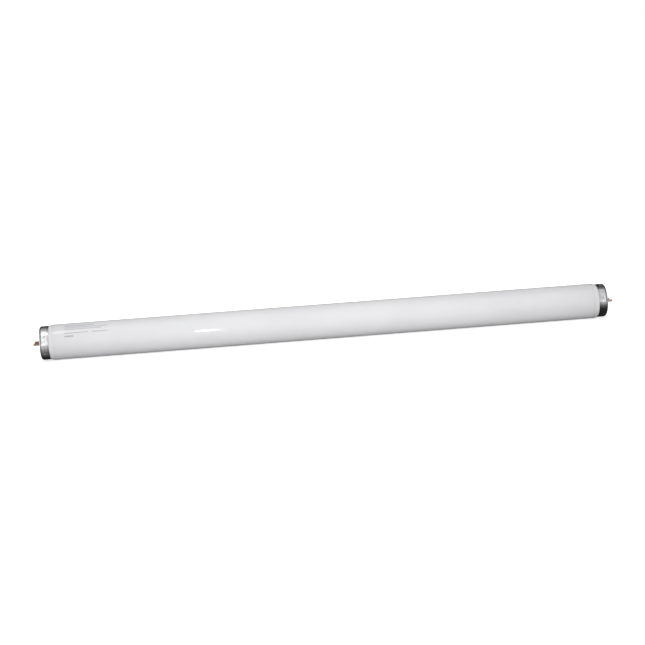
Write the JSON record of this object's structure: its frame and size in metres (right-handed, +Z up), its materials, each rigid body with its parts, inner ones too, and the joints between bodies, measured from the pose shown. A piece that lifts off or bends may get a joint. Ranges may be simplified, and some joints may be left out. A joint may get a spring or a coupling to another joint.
{
  "type": "fluorescent tube",
  "caption": "Straight white glass fluorescent tube with an aluminium cap and brass contact pins at each end, which gives light when its pins are held in lamp holders.",
  "frame": {"origin": "middle of the tube, on its axis", "axes": "+X along the tube to the right-hand cap, +Z up, and the pins of each cap side by side along Y, the front ones towards -Y"},
  "size_m": [0.604, 0.0364, 0.0364],
  "materials": {
    "coated_glass": "glossy clear glass over an opaque matt white coat",
    "cap_aluminium": "bright drawn sheet",
    "insulating_board": "matt pressed board",
    "cement": "matt, fine grained",
    "pin_brass": "dull bright",
    "lead_metal": "satin, welded bead at the tip"
  },
  "bodies": {
    "root": {"glass_tube": "coated_glass", "left_cap_shell": "cap_aluminium", "right_cap_shell": "cap_aluminium", "left_insulator": "insulating_board", "right_insulator": "insulating_board", "left_cement": "cement", "right_cement": "cement", "left_front_pin": "pin_brass", "left_rear_pin": "pin_brass", "right_front_pin": "pin_brass", "right_rear_pin": "pin_brass", "left_front_lead": "lead_metal", "left_rear_lead": "lead_metal", "right_front_lead": "lead_metal", "right_rear_lead": "lead_metal"}
  },
  "joints": []
}
